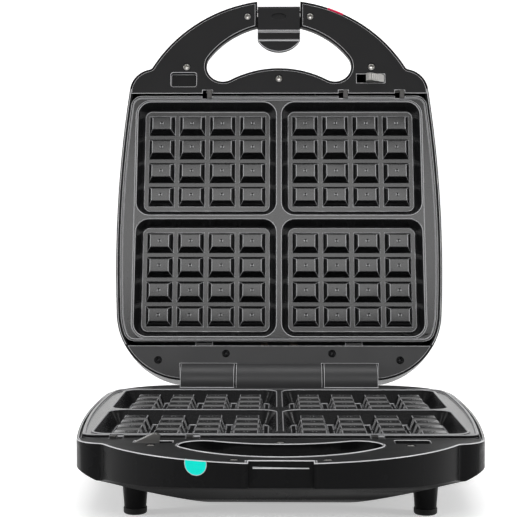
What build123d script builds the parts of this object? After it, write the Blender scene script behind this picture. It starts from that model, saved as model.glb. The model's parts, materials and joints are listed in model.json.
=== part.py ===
from build123d import *
from math import atan2, cos, radians, sin, sqrt, tan
import os

# Sizes are in millimetres and angles in degrees.
# Each half has a frame of its own: the first axis runs across, the second from the
# hinge axis to the front, and the third from the cover plane into the half. Both
# halves are one moulding, turned over about the line from back to front.

# Stance
stand_height = 51.0
cover_gap = 3.0
open_angle = 105.0
half_depth = 42.0

# Outline from above
rear_reach = 2.0
shoulder_reach = 264.5
side_bulge = 132.5
bulge_reach = 118.0
side_radius = 1050.0
rear_corner_radius = 56.0
shoulder_radius = 20.0
grip_radius = 123.0
grip_centre = 203.5
neck_radius = 4.0

# Handle hole: two round lobes joined by an arch above and a bulge below
lobe_x = 46.9
lobe_reach = 267.2
lobe_radius = 13.8
lobe_top_angle = 40.0
lobe_side_angle = -30.0
lobe_low_angle = -115.0
hole_top = 304.5
hole_bulge = 265.3
hole_straight = 5.0
hole_flare = 30.0

# Underside, from the side and from the front
grip_tip_depth = 14.0
grip_root_depth = 18.5
grip_root_reach = 300.0
apron_depth = 21.5
apron_reach = 262.0
belly_front = 238.0
belly_back = 24.0
rear_wall_depth = 31.0
belly_round = 14.0
apron_round = 30.0
crown_flat = 41.0
crown_mid_x = 82.0
crown_mid_depth = 32.3
skirt_depth = 13.0
skirt_x = 133.0

# Walls, lips and covers
wall = 2.6
lip_wall = 1.4
fit = 0.25
cover_thickness = 2.1
cover_sink = 0.4
handle_cover_rear = 243.0
hinge_cover_front = 30.0
seat_depth = cover_sink + cover_thickness

# Hinge
barrel_radius = 15.0
barrel_room = 0.8
centre_barrel_half = 33.8
barrel_split = 1.5
outer_barrel_end = 77.6
rod_radius = 3.0
rod_hold = 0.02
rod_run = 0.06
rod_short = 1.5
washer_radius = 14.2
washer_gap = 0.3

# Latch and its pin
latch_half = 17.9
latch_side_gap = 0.4
latch_pivot_reach = 318.0
latch_pivot_depth = 4.2
latch_barrel_radius = 3.8
latch_pin_radius = 1.5
latch_pin_stick = 0.8
latch_face_depth = 0.4
latch_thickness = 3.4
latch_ridge_reach = 298.5
latch_groove_reach = 290.4
latch_tip_reach = 280.1
latch_groove_depth = 1.3
latch_ridge = 1.2
latch_dimple = (6.5, 2.9)
latch_dimple_reach = 311.5
latch_dimple_depth = 0.9
hook_half = 11.0
hook_reach = 294.4
hook_length = 2.6
hook_rise = 3.6
latch_seat_depth = 5.2
lid_notch_reach = 313.2
base_notch_reach = 317.0
catch_panel_half = 15.8
catch_panel_stand = 1.0
catch_panel_top = 4.1
catch_panel_bottom = 14.0

# Plate
plate_rise = 1.2
plate_flange = 2.5
plate_wall = 2.4
plate_side_gap = 3.2
plate_rear = 33.3
plate_front = 240.2
plate_corner = 9.0
rim_width = 2.0
channel_depth = 1.3
bead_width = 1.7
pocket_width = 114.9
pocket_length = 97.2
pocket_pitch_x = 119.1
pocket_pitch_y = 100.5
pocket_centre = 136.05
pocket_corner = 11.0
pocket_drop = 10.0
pocket_draft = 29.0
peg_width = 21.3
peg_length = 16.6
peg_height = 8.0
peg_draft = 20.5
peg_pitch_x = 25.2
peg_pitch_y = 20.5
peg_count = 4
peg_dimple_radius = 1.0
peg_dimple_depth = 0.8
tongue_x = 60.0
tongue_half = 7.0
tongue_length = 6.0
tongue_gap = 0.5
tongue_thickness = 1.4

# Reflector and heater
tray_half = 121.0
tray_rear = 33.4
tray_front = 238.8
tray_low_half = 100.0
tray_low_front = 230.0
tray_gap = 0.7
tray_thickness = 0.8
tray_depth = 19.8
tray_corner = 8.0
pillar_x = 93.5
pillar_reach = (64.0, 212.0)
pillar_radius = 4.5
heater_radius = 3.3
heater_gap = 1.2
bracket_strap = 0.7
heater_half = 86.0
heater_front = 212.0
heater_back = 58.0
heater_lead_x = 12.0
heater_end = 24.0
heater_bend = 16.0
bracket_width = 11.0
bracket_length = 9.0
bracket_spots = ((-86.0, 136.0), (86.0, 136.0), (0.0, 212.0))

# Screws
cover_screw_spots = ((-26.5, 311.9), (26.5, 311.9), (-77.5, 266.6), (77.5, 266.6), (0.0, 256.3))
rear_screw_spots = ((-96.6, 18.3), (96.6, 18.3), (-42.4, 23.6), (42.4, 23.6))
boss_radius = 3.4
screw_radius = 1.45
screw_hole_fit = 0.06
screw_head_radius = 2.7
screw_head_height = 1.3
screw_seat_depth = 1.7
screw_length = 9.0
screw_sink_fit = 0.3

# Release lever, catch bar and socket
bar_depth = 2.8
bar_thickness = 1.2
bar_rear = 244.4
bar_front = 249.6
bar_left = -108.0
bar_right = 61.0
release_travel = 3.5
catch_spots = (-102.6, -55.6, 57.9)
catch_half = 1.9
catch_gap = 0.2
catch_fit = 0.5
catch_thickness = 1.1
catch_top = -1.0
catch_nose_reach = 238.6
slot_left = -88.6
slot_right = -65.0
slot_rear = 252.2
slot_front = 259.9
lever_outer = -88.0
lever_inner = -72.7
lever_heel = -73.4
lever_peak_x = -76.2
lever_peak = 4.6
lever_tip = 3.2
lever_slope_x = -79.0
lever_slope = 3.7
lever_toe_depth = 0.6
arm_length = 8.0
lever_side_gap = 0.6
socket_left = 69.0
socket_right = 90.4
socket_rear = 249.0
socket_front = 261.4
socket_depth = 5.4
socket_wall = 1.1
socket_corner = 2.0
spring_start = -30.0
spring_room = 15.0
spring_radius = 2.4
spring_wire = 0.6
spring_turns = 7
spring_gap = 0.3
spring_clear = 0.3
guide_left = -92.0
guide_right = 36.0
rib_thickness = 2.0
rib_side = 0.8
rib_gap = 0.3
spring_tab = 1.2

# Lamps and lenses
lens_x = -47.8
lens_half = 6.6
lens_drop = 2.4
lens_thickness = 3.4
lens_fit = 0.12
lamp_radius = 2.5
lamp_length = 13.0
lamp_depth = 6.0
lamp_gap = 0.15

# Feet, bottom cover, gland and wiring
leg_x = 91.0
leg_front_reach = 225.0
leg_back_reach = 34.0
leg_root_depth = 26.0
leg_draft = 4.5
plug_radius = 2.5
plug_length = 5.0
leg_end_radius = 6.9
foot_height = 4.0
foot_radius = 7.4
foot_round = 1.6
bottom_cover_half = 41.0
bottom_cover_back = 58.0
bottom_cover_front = 226.0
bottom_cover_thickness = 2.0
bottom_cover_proud = 1.5
bottom_screw_x = 33.0
bottom_screw_inset = 9.0
bottom_screw_length = 5.5
bottom_chamfer = 1.2
head_stand = 0.1
service_ledge = 16.0
gland_depth = 23.5
gland_radius = 5.0
gland_flange_radius = 7.0
gland_flange = 2.0
gland_bore = 3.4
gland_inner = 3.0
gland_nut_radius = 6.0
block_width = 30.0
block_length = 13.0
block_height = 10.0
block_reach = 46.0
thermostat_radius = 8.0
thermostat_height = 6.0
thermostat_reach = 120.0
fuse_radius = 2.2
fuse_length = 14.0
fuse_reach = 150.0
fuse_gap = 0.1
lead_radius = 1.2
lead_bend = 3.0
lead_run = 9.0
lead_drop_reach = 17.0
mains_x = 1.6
lead_gap = 0.2
small_screw_radius = 1.3
small_head_radius = 2.5
small_head_height = 1.4
small_screw_length = 5.0

# Working values: longer than any piece, and how far a cut starts outside its piece
far = 400.0
above = 1.0
same_place = 0.01

# What follows from the values above
notch_half = latch_half + latch_side_gap
latch_bay_rear = hole_top - lobe_radius
room_half = outer_barrel_end + barrel_room
room_radius = barrel_radius + barrel_room
outer_barrel_start = centre_barrel_half + barrel_split
pin_half = notch_half + wall + latch_pin_stick
pillar_spots = [(side * pillar_x, reach) for reach in pillar_reach for side in (-1, 1)]
tray_top = plate_flange - plate_rise
plate_bottom = pocket_drop + plate_wall - plate_rise
tray_step = plate_bottom + tray_gap
tray_floor = tray_depth + tray_thickness
heater_depth = plate_bottom + heater_gap + heater_radius
bracket_top = heater_depth - heater_radius - bracket_strap
tongue_top = seat_depth + tongue_gap
tongue_bottom = tongue_top + tongue_thickness
tongue_rear = plate_rear - tongue_length
tongue_root = pocket_centre - (pocket_pitch_y + pocket_length) / 2 - plate_wall / 2
catch_room = catch_half + catch_fit
catch_riser_front = bar_rear + catch_thickness
ledge_end = release_travel / 2
ledge_depth = catch_top + catch_thickness + catch_gap
lever_rear = slot_rear + lever_side_gap
lever_front = slot_front - lever_side_gap
arm_inner = lever_outer + arm_length
spring_depth = bar_depth + bar_thickness + spring_clear + spring_radius
spring_length = spring_room - 2 * spring_gap
guide_spots = (guide_left, spring_start + spring_room, guide_right)
lens_back_radius = grip_radius - lens_thickness
lamp_front = grip_centre + sqrt(lens_back_radius**2 - (abs(lens_x) + lamp_radius) ** 2) - lamp_gap
bottom_seat = half_depth + bottom_cover_proud - bottom_cover_thickness
bottom_head_seat = half_depth + bottom_cover_proud - small_head_height + head_stand
bottom_screw_spots = [
    (side * bottom_screw_x, reach)
    for reach in (bottom_cover_back + bottom_screw_inset, bottom_cover_front - bottom_screw_inset)
    for side in (-1, 1)
]
fuse_depth = tray_floor + fuse_radius + fuse_gap
lead_top = heater_depth - lead_radius + cover_gap / 2
lid_lead_end = sqrt((room_radius + wall) ** 2 - lead_top**2) + lead_gap


# The hinge axis lies midway between the cover planes. The open lid leans back, and the
# whole object is centred over the origin. The lid reaches furthest back on the round
# edge between its flat top and the slope down to its handle.
lean = radians(open_angle - 90.0)
apron_slope = atan2(half_depth - apron_depth, apron_reach - belly_front)
round_start = belly_front - belly_round * tan(apron_slope / 2)
round_depth = half_depth - belly_round + cover_gap / 2
back_reach = round_start * sin(lean) + round_depth * cos(lean) + belly_round
grip_reach = grip_centre + grip_radius
tip_reach = grip_centre + sqrt(grip_radius**2 - notch_half**2)
hinge_y = (tip_reach - back_reach) / 2
cover_z = stand_height
hinge_z = cover_z + cover_gap / 2


def side_x(reach):
    """Half width of the body at a distance from the hinge axis."""
    return side_bulge - side_radius + sqrt(side_radius**2 - (reach - bulge_reach) ** 2)


base_half = Plane(origin=(0, hinge_y, cover_z), x_dir=(1, 0, 0), z_dir=(0, 0, -1))
shut_lid = Plane(origin=(0, hinge_y, cover_z + cover_gap), x_dir=(-1, 0, 0), z_dir=(0, 0, 1))


def swing(plane, angle):
    """A plane turned about the hinge axis."""
    turn = Location((0, hinge_y, hinge_z), (angle, 0, 0))
    back = Location((0, -hinge_y, -hinge_z))
    return Plane(turn * back * plane.location)


lid_half = swing(shut_lid, -open_angle)


def side_plane(half, x=0.0):
    """Plane that cuts a half from back to front: axes to the front and into the half."""
    return Plane(origin=half.from_local_coords((x, 0, 0)), x_dir=half.y_dir, z_dir=half.x_dir)


def cross_plane(half, reach=0.0):
    """Plane that cuts a half across: axes across and into the half."""
    spot = half.from_local_coords((0, reach, 0))
    return Plane(origin=spot, x_dir=half.x_dir, z_dir=-half.y_dir)


def plan(inset=0.0):
    """Outline of a half, drawn in by inset, without the handle hole."""
    with BuildSketch() as outline:
        with BuildLine():
            Line((-side_x(rear_reach), rear_reach), (side_x(rear_reach), rear_reach))
            ThreePointArc(
                (side_x(rear_reach), rear_reach),
                (side_bulge, bulge_reach),
                (side_x(shoulder_reach), shoulder_reach),
            )
            Line((side_x(shoulder_reach), shoulder_reach), (-side_x(shoulder_reach), shoulder_reach))
            ThreePointArc(
                (-side_x(shoulder_reach), shoulder_reach),
                (-side_bulge, bulge_reach),
                (-side_x(rear_reach), rear_reach),
            )
        make_face()
        fillet(outline.vertices().group_by(Axis.Y)[0], rear_corner_radius)
        fillet(outline.vertices().group_by(Axis.Y)[-1], shoulder_radius)
        with Locations((0, grip_centre)):
            Circle(grip_radius)
        fillet(outline.vertices().group_by(Axis.Y)[-1], neck_radius)
        if inset > 0:
            offset(amount=-inset, kind=Kind.ARC)
    return outline.sketch


def lobe_point(side, angle):
    """Point on the round end of the handle hole."""
    across = lobe_x + lobe_radius * cos(radians(angle))
    return (side * across, lobe_reach + lobe_radius * sin(radians(angle)))


def grip_hole(grow=0.0):
    """Handle hole, made larger all round by grow."""
    with BuildSketch() as hole:
        with BuildLine():
            ThreePointArc(lobe_point(-1, lobe_top_angle), (0, hole_top), lobe_point(1, lobe_top_angle))
            ThreePointArc(lobe_point(-1, lobe_low_angle), (0, hole_bulge), lobe_point(1, lobe_low_angle))
            for side in (-1, 1):
                ThreePointArc(
                    lobe_point(side, lobe_top_angle),
                    lobe_point(side, lobe_side_angle),
                    lobe_point(side, lobe_low_angle),
                )
        make_face()
        if grow > 0:
            offset(amount=grow, kind=Kind.ARC)
    return hole.sketch


def band(rear, front, half_width=far):
    """Strip of a sketch between two distances from the hinge axis."""
    with BuildSketch() as strip:
        with Locations((0, (rear + front) / 2)):
            Rectangle(2 * half_width, front - rear)
    return strip.sketch


def latch_notch(is_lid, grow=0.0):
    """Notch in the tip of the handle that the latch lies or closes in, from above."""
    rear = latch_bay_rear if is_lid else base_notch_reach
    return band(rear - grow, far, notch_half + grow)


def deck(is_lid, inset):
    """Flat area inside the lip of a half, which the covers and the plate fill."""
    with BuildSketch() as area:
        add(plan(inset))
        add(grip_hole(inset), mode=Mode.SUBTRACT)
        add(latch_notch(is_lid, inset), mode=Mode.SUBTRACT)
    return area.sketch


def side_profile(inset=0.0):
    """Underside seen from the side, drawn in by inset."""
    with BuildSketch() as profile:
        with BuildLine():
            Polyline(
                (-far, -far),
                (-far, rear_wall_depth),
                (rear_reach, rear_wall_depth),
                (belly_back, half_depth),
                (belly_front, half_depth),
                (apron_reach, apron_depth),
                (grip_root_reach, grip_root_depth),
                (grip_reach, grip_tip_depth),
                (far, grip_tip_depth),
                (far, -far),
                close=True,
            )
        make_face()
        belly = outline_corners(profile, belly_front)
        fillet(belly, belly_round)
        fillet(outline_corners(profile, apron_reach), apron_round)
        if inset > 0:
            offset(amount=-inset, kind=Kind.ARC)
    return profile.sketch


def outline_corners(sketch, across):
    """Corners of a sketch at a distance along its first axis."""
    return sketch.vertices().filter_by(lambda corner: abs(corner.X - across) < same_place)


def crown_profile(inset=0.0):
    """Underside seen from the front, drawn in by inset."""
    with BuildSketch() as profile:
        with BuildLine():
            Line((-crown_flat, half_depth), (crown_flat, half_depth))
            for side in (-1, 1):
                ThreePointArc(
                    (side * crown_flat, half_depth),
                    (side * crown_mid_x, crown_mid_depth),
                    (side * skirt_x, skirt_depth),
                )
                Polyline((side * skirt_x, skirt_depth), (side * far, skirt_depth), (side * far, -far))
            Line((-far, -far), (far, -far))
        make_face()
        if inset > 0:
            offset(amount=-inset, kind=Kind.ARC)
    return profile.sketch


def moulding(half, is_lid, inset=0.0):
    """Solid body of a half, drawn in by inset on every side but the open one."""
    with BuildPart() as body:
        with BuildSketch(half):
            add(plan(inset))
            add(grip_hole(inset), mode=Mode.SUBTRACT)
        extrude(amount=half_depth)
        edge = inset / cos(radians(hole_flare))
        spread = (apron_depth - hole_straight) * tan(radians(hole_flare))
        with BuildPart(mode=Mode.PRIVATE) as flare:
            with BuildSketch(half.offset(hole_straight)):
                add(grip_hole(edge))
            with BuildSketch(half.offset(apron_depth)):
                add(grip_hole(edge + spread))
            loft(ruled=True)
        add(flare.part, mode=Mode.SUBTRACT)
        with BuildSketch(side_plane(half, -far)):
            add(side_profile(inset))
        extrude(amount=2 * far, mode=Mode.INTERSECT)
        with BuildSketch(cross_plane(half, far)):
            add(crown_profile(inset))
        extrude(amount=2 * far, mode=Mode.INTERSECT)
        if is_lid:
            with BuildSketch(half.offset(-above)):
                add(latch_notch(is_lid, inset))
            extrude(amount=above + latch_seat_depth + inset, mode=Mode.SUBTRACT)
            through = lid_notch_reach
        else:
            through = base_notch_reach
        with BuildSketch(half.offset(-above)):
            add(band(through - inset, far, notch_half + inset))
        extrude(amount=half_depth + 2 * above, mode=Mode.SUBTRACT)
        hinge_room = cylinder_across(half, -room_half - inset, room_half + inset, room_radius + inset)
        add(hinge_room, mode=Mode.SUBTRACT)
    return body.part


def cylinder_across(half, start, end, radius):
    """Cylinder on the hinge axis, from one place across the half to another."""
    with BuildPart() as rod:
        with BuildSketch(side_plane(half, start)):
            with Locations((0, -cover_gap / 2)):
                Circle(radius)
        extrude(amount=end - start)
    return rod.part


def pad(half, sketch, top, bottom):
    """A sketch made solid between two depths of a half."""
    with BuildPart() as block:
        with BuildSketch(half.offset(top)):
            add(sketch)
        extrude(amount=bottom - top)
    return block.part


def box(half, left, right, rear, front, top, bottom):
    """Block given by its limits across, to the front and into a half."""
    return pad(half, rectangle(left, right, rear, front), top, bottom)


def rectangle(left, right, rear, front):
    """Rectangle given by its limits across and to the front."""
    with BuildSketch() as area:
        with Locations(((left + right) / 2, (rear + front) / 2)):
            Rectangle(right - left, front - rear)
    return area.sketch


def discs(spots, radius):
    """Circles of one radius at a list of places."""
    with BuildSketch() as group:
        with Locations(*spots):
            Circle(radius)
    return group.sketch


def standing(half, is_lid, sketch, top):
    """Posts or ribs that stand on the inside of the shell and end at a depth."""
    with BuildPart() as group:
        add(pad(half, sketch, top, half_depth))
        add(moulding(half, is_lid), mode=Mode.INTERSECT)
    return group.part


def cover_screws(half, spots):
    """Screws that hold a cover, their round heads sunk just below its face."""
    seat = screw_seat_depth
    return screws(half, spots, seat, screw_radius, screw_length, screw_head_radius, screw_head_height)


def screws(half, spots, seat, shank, length, head, height):
    """Screws with round heads, each a solid of its own, seated at a depth."""
    with BuildPart() as group:
        add(pad(half, discs(spots, head), seat - height, seat))
        add(pad(half, discs(spots, shank), seat, seat + length))
    return group.part


def small_screws(half, spots, seat, length):
    """Small screws of the tray and of the bottom cover."""
    return screws(half, spots, seat, small_screw_radius, length, small_head_radius, small_head_height)


def save(part, name):
    """Names a finished piece and writes it."""
    part.label = name
    export_step(part, f"parts/{name}.step")


def lens_outline(grow=0.0):
    """Half round lens seen from the front: axes across and into the half."""
    with BuildSketch() as outline:
        with Locations((lens_x, lens_drop / 2 - above / 2)):
            Rectangle(2 * (lens_half + grow), lens_drop + above)
        with Locations((lens_x, lens_drop)):
            Circle(lens_half + grow)
    return outline.sketch


def lens_bar(half, grow):
    """Bar with the shape of the lens that passes through the wall of the handle."""
    with BuildPart() as bar:
        with BuildSketch(cross_plane(half, grip_reach + above)):
            add(lens_outline(grow))
        extrude(amount=grip_reach + above - hole_top)
    return bar.part


def leg_spots():
    """Middles of the four legs."""
    return [(side * leg_x, reach) for reach in (leg_front_reach, leg_back_reach) for side in (-1, 1)]


def ribs():
    """Ribs that carry the catch bar, and the one that the spring pushes against."""
    with BuildSketch() as group:
        for x in guide_spots:
            add(rectangle(x, x + rib_thickness, bar_rear - rib_side, bar_front + rib_side))
    return group.sketch


def shell(half, is_lid):
    """Outer moulding of a half, with its lips, posts, ribs and openings."""
    pilot = screw_radius + screw_hole_fit
    with BuildPart() as casing:
        add(moulding(half, is_lid))
        add(moulding(half, is_lid, wall), mode=Mode.SUBTRACT)
        add(standing(half, is_lid, discs(cover_screw_spots + rear_screw_spots, boss_radius), seat_depth))
        add(standing(half, is_lid, discs(pillar_spots, pillar_radius), tray_floor))
        add(standing(half, is_lid, ribs(), bar_depth + bar_thickness + rib_gap))
        if not is_lid:
            add(legs(half))
            add(catch_panel(half))
        add(pad(half, deck(is_lid, lip_wall), -above, seat_depth), mode=Mode.SUBTRACT)
        add(lens_bar(half, 0.0), mode=Mode.SUBTRACT)
        holes = discs(cover_screw_spots + rear_screw_spots, pilot)
        add(pad(half, holes, seat_depth, screw_seat_depth + screw_length + above), mode=Mode.SUBTRACT)
        tray_holes = discs(pillar_spots, small_screw_radius + screw_hole_fit)
        add(pad(half, tray_holes, tray_floor, tray_floor + small_screw_length), mode=Mode.SUBTRACT)
        if is_lid:
            add(latch_rod(half, pin_half + fit, latch_pin_radius + rod_hold), mode=Mode.SUBTRACT)
        else:
            add(base_openings(half), mode=Mode.SUBTRACT)
    return casing.part


def catch_panel(half):
    """Raised panel in the notch of the base, which the closed latch lies over."""
    rear = base_notch_reach - lip_wall
    front = base_notch_reach + catch_panel_stand
    left, right = -catch_panel_half, catch_panel_half
    return box(half, left, right, rear, front, catch_panel_top, catch_panel_bottom)


def legs(half):
    """Four tapered legs that stand out of the belly."""
    top = stand_height - foot_height
    with BuildPart() as group:
        with BuildSketch(half.offset(top)):
            add(discs(leg_spots(), leg_end_radius))
        extrude(amount=leg_root_depth - top, taper=-leg_draft)
        add(moulding(half, False, wall), mode=Mode.SUBTRACT)
        sockets = discs(leg_spots(), plug_radius + fit)
        add(pad(half, sockets, top - plug_length - fit, top), mode=Mode.SUBTRACT)
    return group.part


def base_openings(half):
    """What is cut out of the base shell: service hole, seat of its cover, gland hole."""
    with BuildPart() as cuts:
        add(pad(half, bottom_cover_plan(fit), bottom_seat, half_depth + above))
        inside = half_depth - wall - above
        add(pad(half, bottom_cover_plan(-service_ledge), inside, bottom_seat))
        pilots = discs(bottom_screw_spots, small_screw_radius + screw_hole_fit)
        add(pad(half, pilots, inside, bottom_seat))
        add(gland_disc(half, gland_radius + screw_hole_fit, -above, wall + 2 * above))
    return cuts.part


def bottom_cover_plan(grow):
    """Outline of the service cover under the base."""
    return rectangle(
        -bottom_cover_half - grow,
        bottom_cover_half + grow,
        bottom_cover_back - grow,
        bottom_cover_front + grow,
    )


def gland_disc(half, radius, start, end):
    """Disc on the axis of the cord gland, between two distances in from the rear wall."""
    with BuildPart() as disc:
        with BuildSketch(cross_plane(half, rear_reach + end)):
            with Locations((0, gland_depth)):
                Circle(radius)
        extrude(amount=end - start)
    return disc.part


def latch_rod(half, half_length, radius):
    """Cylinder on the pivot of the latch."""
    with BuildPart() as rod:
        with BuildSketch(side_plane(half, -half_length)):
            with Locations((latch_pivot_reach, latch_pivot_depth)):
                Circle(radius)
        extrude(amount=2 * half_length)
    return rod.part


def cover_cuts(half, spots):
    """Screw holes and head seats of a cover."""
    with BuildPart() as cuts:
        add(pad(half, discs(spots, screw_radius + screw_sink_fit), -above, seat_depth + above))
        add(pad(half, discs(spots, screw_head_radius + screw_sink_fit), -above, screw_seat_depth))
    return cuts.part


def handle_cover(half, is_lid):
    """Flat cover of the handle, with the lever slot, the socket and the catch notches."""
    with BuildPart() as cover:
        with BuildSketch(half.offset(cover_sink)):
            add(deck(is_lid, lip_wall + fit))
            add(band(handle_cover_rear, far), mode=Mode.INTERSECT)
        extrude(amount=cover_thickness)
        with BuildSketch(half.offset(seat_depth)):
            add(socket_plan(socket_wall))
        extrude(amount=socket_depth + socket_wall - seat_depth)
        add(pad(half, socket_plan(0), -above, socket_depth), mode=Mode.SUBTRACT)
        slot = rectangle(slot_left, slot_right, slot_rear, slot_front)
        add(pad(half, slot, -above, seat_depth + above), mode=Mode.SUBTRACT)
        for x in catch_spots:
            right = x + catch_room + release_travel
            rear = handle_cover_rear - above
            notch = rectangle(x - catch_room, right, rear, catch_riser_front + fit)
            add(pad(half, notch, -above, seat_depth + above), mode=Mode.SUBTRACT)
        add(cover_cuts(half, cover_screw_spots), mode=Mode.SUBTRACT)
    return cover.part


def socket_plan(grow):
    """Outline of the socket that takes the lever of the other half."""
    with BuildSketch() as outline:
        with Locations(((socket_left + socket_right) / 2, (socket_rear + socket_front) / 2)):
            width = socket_right - socket_left + 2 * grow
            length = socket_front - socket_rear + 2 * grow
            RectangleRounded(width, length, socket_corner + grow)
    return outline.sketch


def hinge_cover(half, is_lid):
    """Rear cover of a half with its hinge barrels."""
    outer = [(-outer_barrel_end, -outer_barrel_start), (outer_barrel_start, outer_barrel_end)]
    centre = [(-centre_barrel_half, centre_barrel_half)]
    own = centre if is_lid else outer
    other = outer if is_lid else centre
    bore = rod_radius + (rod_run if is_lid else rod_hold)
    with BuildPart() as cover:
        with BuildSketch(half.offset(cover_sink)):
            add(deck(is_lid, lip_wall + fit))
            add(band(-far, hinge_cover_front), mode=Mode.INTERSECT)
        extrude(amount=cover_thickness)
        for start, end in other:
            room = cylinder_across(half, start - barrel_split, end + barrel_split, room_radius)
            add(room, mode=Mode.SUBTRACT)
        for start, end in own:
            add(cylinder_across(half, start, end, barrel_radius))
        add(cylinder_across(half, -far, far, bore), mode=Mode.SUBTRACT)
        add(cover_cuts(half, rear_screw_spots), mode=Mode.SUBTRACT)
    return cover.part


def plate_plan(inset=0.0):
    """Outline of a cooking plate."""
    with BuildSketch() as outline:
        add(plan(plate_side_gap))
        add(band(plate_rear, plate_front), mode=Mode.INTERSECT)
        fillet(outline.vertices().group_by(Axis.Y)[0], plate_corner)
        fillet(outline.vertices().group_by(Axis.Y)[-1], plate_corner)
        if inset > 0:
            offset(amount=-inset, kind=Kind.ARC)
    return outline.sketch


def pocket_block(grow):
    """Rounded rectangle round all four pockets."""
    with BuildSketch() as outline:
        with Locations((0, pocket_centre)):
            width = pocket_pitch_x + pocket_width + 2 * grow
            length = pocket_pitch_y + pocket_length + 2 * grow
            RectangleRounded(width, length, pocket_corner + grow)
    return outline.sketch


def cooking_plate(half):
    """Pressed non-stick plate with four pockets, each with a grid of pegs."""
    floor = pocket_drop - plate_rise
    with BuildPart() as plate:
        with BuildSketch(half.offset(-plate_rise)):
            add(plate_plan())
        extrude(amount=plate_flange)
        with BuildSketch(half.offset(-plate_rise)):
            add(pocket_block(plate_wall))
        extrude(amount=pocket_drop + plate_wall)
        with BuildSketch(half.offset(-plate_rise)):
            add(plate_plan(rim_width))
            add(pocket_block(bead_width), mode=Mode.SUBTRACT)
        extrude(amount=channel_depth, mode=Mode.SUBTRACT)
        with BuildSketch(half.offset(-plate_rise)):
            with Locations((0, pocket_centre)):
                with GridLocations(pocket_pitch_x, pocket_pitch_y, 2, 2):
                    RectangleRounded(pocket_width, pocket_length, pocket_corner)
        extrude(amount=pocket_drop, taper=pocket_draft, mode=Mode.SUBTRACT)
        with BuildSketch(half.offset(floor)):
            with Locations(*peg_spots()):
                Rectangle(peg_width, peg_length)
        extrude(amount=-peg_height, taper=peg_draft)
        dimples = discs(peg_spots(), peg_dimple_radius)
        peg_top = floor - peg_height
        add(pad(half, dimples, peg_top, peg_top + peg_dimple_depth), mode=Mode.SUBTRACT)
        for side in (-1, 1):
            left = side * tongue_x - tongue_half
            right = side * tongue_x + tongue_half
            add(box(half, left, right, tongue_rear, tongue_root, tongue_top, tongue_bottom))
        for x in catch_spots:
            rear = catch_nose_reach - catch_fit
            ledge = rectangle(x - catch_room, x + ledge_end, rear, far)
            add(pad(half, ledge, -plate_rise - above, ledge_depth), mode=Mode.SUBTRACT)
            gate = rectangle(x + ledge_end, x + release_travel + catch_room, rear, far)
            add(pad(half, gate, -plate_rise - above, plate_flange - plate_rise), mode=Mode.SUBTRACT)
    return plate.part


def peg_spots():
    """Middles of every peg of a plate, pocket by pocket."""
    pockets = [(x * pocket_pitch_x / 2, y * pocket_pitch_y / 2) for x in (-1, 1) for y in (-1, 1)]
    steps = [step - (peg_count - 1) / 2 for step in range(peg_count)]
    return [
        (x + i * peg_pitch_x, pocket_centre + y + j * peg_pitch_y)
        for x, y in pockets
        for i in steps
        for j in steps
    ]


def tray_plan(half_width, front, inset=0.0):
    """Rounded outline of one step of the reflector tray."""
    with BuildSketch() as outline:
        with Locations((0, (tray_rear + front) / 2)):
            RectangleRounded(
                2 * (half_width - inset),
                front - tray_rear - 2 * inset,
                tray_corner - inset,
            )
    return outline.sketch


def reflector(half):
    """Steel tray in two steps that carries the plate and the heater."""
    with BuildPart() as tray:
        add(pad(half, tray_plan(tray_half, tray_front), tray_top, tray_step + tray_thickness))
        add(pad(half, tray_plan(tray_low_half, tray_low_front), tray_step, tray_floor))
        high = tray_plan(tray_half, tray_front, tray_thickness)
        add(pad(half, high, tray_top - above, tray_step), mode=Mode.SUBTRACT)
        low = tray_plan(tray_low_half, tray_low_front, tray_thickness)
        add(pad(half, low, tray_top - above, tray_floor - tray_thickness), mode=Mode.SUBTRACT)
        holes = discs(pillar_spots, small_screw_radius + screw_sink_fit)
        add(pad(half, holes, tray_step, tray_floor + above), mode=Mode.SUBTRACT)
        for side in (-1, 1):
            x = side * tongue_x
            slot = box(
                half,
                x - tongue_half - catch_fit,
                x + tongue_half + catch_fit,
                tray_rear - above,
                tray_rear + tray_thickness + fit,
                tongue_top - catch_fit,
                tongue_bottom + catch_fit,
            )
            add(slot, mode=Mode.SUBTRACT)
            hole = box(
                half,
                side * heater_lead_x - heater_radius - fit,
                side * heater_lead_x + heater_radius + fit,
                tray_rear - above,
                tray_rear + tray_thickness + fit,
                heater_depth - heater_radius - fit,
                heater_depth + heater_radius + fit,
            )
            add(hole, mode=Mode.SUBTRACT)
    return tray.part


def tube(half, points, radius, bend):
    """Round tube along straight runs with rounded corners, in the frame of a half."""
    path_points = [half.from_local_coords(point) for point in points]
    with BuildPart() as run:
        with BuildLine():
            if len(points) > 2:
                path = FilletPolyline(*path_points, radius=bend)
            else:
                path = Line(*path_points)
        with BuildSketch(Plane(origin=path @ 0, z_dir=path % 0)):
            Circle(radius)
        sweep()
    return run.part


def heater(half, radius=None):
    """Tubular heater bent to a loop, its two ends out to the rear."""
    corners = [
        (-heater_lead_x, heater_end),
        (-heater_lead_x, heater_back),
        (-heater_half, heater_back),
        (-heater_half, heater_front),
        (heater_half, heater_front),
        (heater_half, heater_back),
        (heater_lead_x, heater_back),
        (heater_lead_x, heater_end),
    ]
    points = [(x, reach, heater_depth) for x, reach in corners]
    return tube(half, points, radius or heater_radius, heater_bend)


def heater_brackets(half):
    """Saddles that hold the heater down on the tray."""
    with BuildPart() as saddles:
        for x, reach in bracket_spots:
            along = bracket_length / 2 if x else bracket_width / 2
            across = bracket_width / 2 if x else bracket_length / 2
            foot = tray_floor - tray_thickness
            add(box(half, x - across, x + across, reach - along, reach + along, bracket_top, foot))
        add(heater(half, heater_radius + rod_run), mode=Mode.SUBTRACT)
    return saddles.part


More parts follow.
